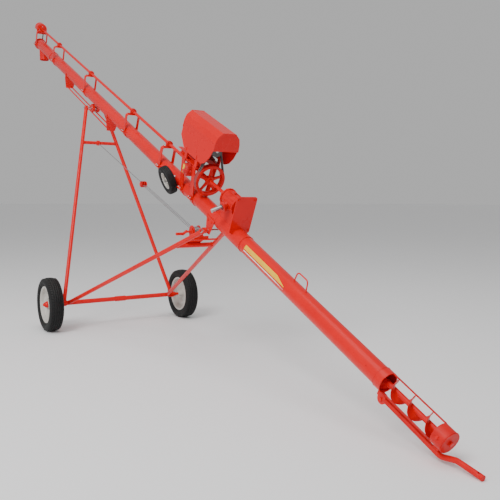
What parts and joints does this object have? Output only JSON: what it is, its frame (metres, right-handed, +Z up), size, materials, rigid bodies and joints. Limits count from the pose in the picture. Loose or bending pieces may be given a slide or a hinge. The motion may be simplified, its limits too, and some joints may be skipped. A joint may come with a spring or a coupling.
{
  "type": "grain auger",
  "caption": "Towable tube grain auger on two wheels, with a scissor lift frame, hooded belt drive, top drive shaft, bevel gearbox, discharge spout and caged intake.",
  "frame": {"origin": "on the ground under the middle of the whole length", "axes": "+X toward the intake end, +Y to the far side, +Z up"},
  "size_m": [8.1722, 1.75, 4.0747],
  "materials": {
    "red_paint": "gloss",
    "tyre_rubber": "matt",
    "rim_paint": "satin",
    "bare_steel": "satin",
    "zinc_bolts": "satin",
    "belt_rubber": "matt",
    "chain_steel": "oiled",
    "cast_bearing": "painted",
    "motor_paint": "satin paint",
    "fan_cover_steel": "satin",
    "yellow_plastic": "matt",
    "red_plastic": "gloss",
    "wire_rope": "galvanised"
  },
  "bodies": {
    "auger": {"upper_tube": "red_paint", "lower_tube": "red_paint", "tube_sleeves": "red_paint", "discharge_head": "red_paint", "intake_cup": "red_paint", "cage_straps": "red_paint", "carry_handle": "red_paint", "shaft_hangers": "red_paint", "clamp_bands": "red_paint", "clamp_bolts": "zinc_bolts", "shaft_bearings": "cast_bearing", "v_belts": "belt_rubber", "drive_chain": "chain_steel", "chain_guards": "red_paint", "motor_frame": "red_paint", "motor_housing": "motor_paint", "motor_fan_cover": "fan_cover_steel", "motor_terminal_box": "fan_cover_steel", "motor_hood": "red_paint", "gearbox_housing": "red_paint", "gearbox_plate": "red_paint", "switch_box": "red_plastic", "switch_plate": "yellow_plastic", "jockey_axle": "bare_steel", "track_rods": "red_paint", "frame_brackets": "red_paint", "pivot_pin": "bare_steel", "tow_bar": "red_paint", "tow_bar_lugs": "red_paint"},
    "screw": {"screw_shaft": "red_paint", "screw_flights": "red_paint", "screw_sprocket": "chain_steel"},
    "drive": {"drive_shaft": "red_paint", "drive_pulley": "red_paint", "drive_sprocket": "chain_steel", "drive_gear": "bare_steel"},
    "motor_rotor": {"motor_shaft": "bare_steel", "motor_pulley": "red_paint"},
    "gear_input": {"input_shaft": "bare_steel"},
    "switch": {"switch_knob": "red_plastic"},
    "jockey_wheel": {"jockey_tyre": "tyre_rubber", "jockey_rim": "rim_paint"},
    "lower_frame": {"near_lower_beam": "red_paint", "far_lower_beam": "red_paint", "lower_cross_tubes": "red_paint", "axle_beam": "red_paint", "winch_frame": "red_paint"},
    "near_wheel": {"near_tyre": "tyre_rubber", "near_rim": "rim_paint"},
    "far_wheel": {"far_tyre": "tyre_rubber", "far_rim": "rim_paint"},
    "leg_frame": {"near_leg": "red_paint", "far_leg": "red_paint", "leg_cross_tube": "red_paint", "roller_shaft": "bare_steel"},
    "rollers": {"track_rollers": "red_paint"},
    "winch": {"winch_drum": "red_paint"},
    "hoist_line": {"hoist_falls": "wire_rope"},
    "hoist_block": {"hoist_block": "red_paint", "hoist_pendant": "wire_rope"}
  },
  "joints": [
    {"name": "screw_spin", "type": "hinge", "parent": "auger", "child": "screw", "pos_m": [-0.08514, 0, 1.96109], "axis": [0.9075, 0, -0.42], "continuous": true},
    {"name": "shaft_spin", "type": "hinge", "parent": "auger", "child": "drive", "pos_m": [0.00936, 0, 2.16528], "axis": [0.9075, 0, -0.42], "continuous": true},
    {"name": "motor_spin", "type": "hinge", "parent": "auger", "child": "motor_rotor", "pos_m": [1.34247, 0, 1.84583], "axis": [0.9075, 0, -0.42], "continuous": true},
    {"name": "input_spin", "type": "hinge", "parent": "auger", "child": "gear_input", "pos_m": [1.63745, 0, 1.41179], "axis": [-0.1607, -0.9239, -0.3473], "continuous": true},
    {"name": "switch_turn", "type": "hinge", "parent": "auger", "child": "switch", "pos_m": [1.06286, -0.1453, 1.68213], "axis": [0, -1, 0], "range_deg": [0, 90]},
    {"name": "jockey_spin", "type": "hinge", "parent": "auger", "child": "jockey_wheel", "pos_m": [0.66992, -0.125, 1.61165], "axis": [-0.1775, -0.9063, -0.3835], "continuous": true},
    {"name": "lift", "type": "hinge", "parent": "auger", "child": "lower_frame", "pos_m": [1.33911, 0, 1.17191], "axis": [0, 1, 0], "range_deg": [-6, 19]},
    {"name": "leg_fold", "type": "hinge", "parent": "lower_frame", "child": "leg_frame", "pos_m": [-0.85854, 0, 0.29], "axis": [0, 1, 0], "range_deg": [-38.5, 12.5]},
    {"name": "roller_spin", "type": "hinge", "parent": "leg_frame", "child": "rollers", "pos_m": [-1.60852, 0, 2.5361], "axis": [0, 1, 0], "continuous": true},
    {"name": "near_wheel_spin", "type": "hinge", "parent": "lower_frame", "child": "near_wheel", "pos_m": [-0.85854, -0.8, 0.29], "axis": [0, 1, 0], "continuous": true},
    {"name": "far_wheel_spin", "type": "hinge", "parent": "lower_frame", "child": "far_wheel", "pos_m": [-0.85854, 0.8, 0.29], "axis": [0, 1, 0], "continuous": true},
    {"name": "winch_turn", "type": "hinge", "parent": "lower_frame", "child": "winch", "pos_m": [1.00675, 0, 1.14629], "axis": [0, 1, 0], "continuous": true},
    {"name": "hoist_swing", "type": "hinge", "parent": "lower_frame", "child": "hoist_line", "pos_m": [1.00675, 0, 1.14629], "axis": [0, 1, 0], "range_deg": [-18, 6]},
    {"name": "hoist_run", "type": "slide", "parent": "hoist_line", "child": "hoist_block", "axis": [-0.9327, 0, 0.3607], "range_m": [-0.28, 0.87], "deforming": ["hoist_falls", "hoist_pendant"]}
  ],
  "couplings": [
    {"joint": "shaft_spin", "follows": "screw_spin", "ratio": 1},
    {"joint": "motor_spin", "follows": "screw_spin", "ratio": 2.9868},
    {"joint": "input_spin", "follows": "screw_spin", "ratio": 1},
    {"joint": "leg_fold", "follows": "lift", "ratio": -2},
    {"joint": "hoist_swing", "follows": "lift", "ratio": -0.93},
    {"joint": "hoist_run", "follows": "lift", "m_per_rad": 2.6}
  ]
}
